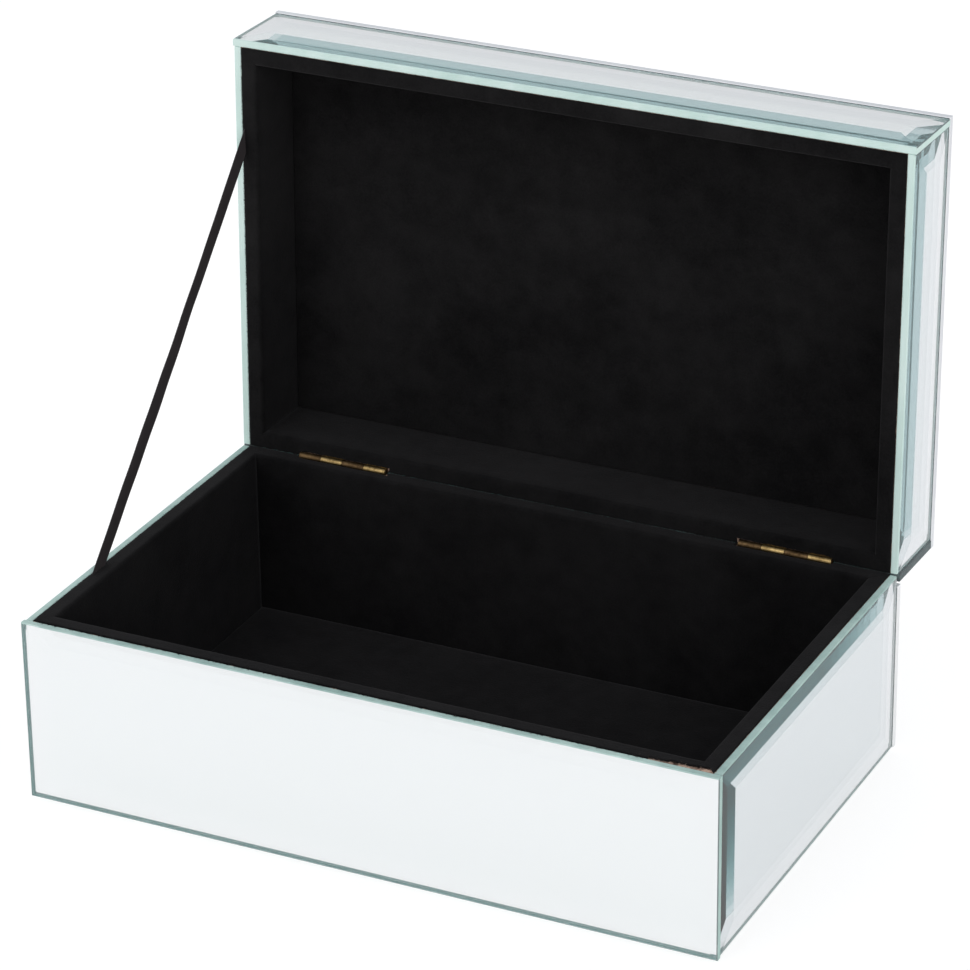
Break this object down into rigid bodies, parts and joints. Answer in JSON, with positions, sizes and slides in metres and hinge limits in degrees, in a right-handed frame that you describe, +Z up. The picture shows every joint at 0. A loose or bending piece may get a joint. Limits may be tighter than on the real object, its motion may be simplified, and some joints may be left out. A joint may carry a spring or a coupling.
{
  "type": "vanity trinket box",
  "caption": "Rectangular trinket box with bevelled mirror panes outside, black velvet inside and a hinged lid that a ribbon stay holds open just past upright.",
  "frame": {"origin": "centre of the underside of the felt, on the surface that the box stands on", "axes": "+X to the right along the box's width, +Y to the hinged back, +Z up"},
  "size_m": [0.28, 0.2127, 0.2442],
  "materials": {
    "fibreboard": "raw, fine grained edge",
    "mirror_glass": "polished silvered glass with ground edges",
    "velvet": "short black pile",
    "felt": "matted felt",
    "brass": "polished, slightly worn",
    "ribbon": "woven, slight sheen"
  },
  "bodies": {
    "base": {"base_floor_board": "fibreboard", "base_front_board": "fibreboard", "base_right_board": "fibreboard", "base_back_board": "fibreboard", "base_left_board": "fibreboard", "base_front_mirror": "mirror_glass", "base_right_mirror": "mirror_glass", "base_back_mirror": "mirror_glass", "base_left_mirror": "mirror_glass", "base_front_lining": "velvet", "base_right_lining": "velvet", "base_back_lining": "velvet", "base_left_lining": "velvet", "base_floor_pad": "velvet", "base_felt": "felt", "hinge_left_base_leaf": "brass", "hinge_right_base_leaf": "brass", "hinge_left_pin": "brass", "hinge_right_pin": "brass", "base_hinge_screws": "brass", "stay_ribbon": "ribbon"},
    "lid": {"lid_top_board": "fibreboard", "lid_front_board": "fibreboard", "lid_right_board": "fibreboard", "lid_back_board": "fibreboard", "lid_left_board": "fibreboard", "lid_top_mirror": "mirror_glass", "lid_front_mirror": "mirror_glass", "lid_right_mirror": "mirror_glass", "lid_back_mirror": "mirror_glass", "lid_left_mirror": "mirror_glass", "lid_front_lining": "velvet", "lid_right_lining": "velvet", "lid_back_lining": "velvet", "lid_left_lining": "velvet", "lid_top_pad": "velvet", "hinge_left_lid_leaf": "brass", "hinge_right_lid_leaf": "brass", "lid_hinge_screws": "brass"}
  },
  "joints": [
    {"name": "lid_hinge", "type": "hinge", "parent": "base", "child": "lid", "pos_m": [0, 0.083, 0.0745], "axis": [1, 0, 0], "range_deg": [0, 91.5], "deforming": ["stay_ribbon"]}
  ]
}
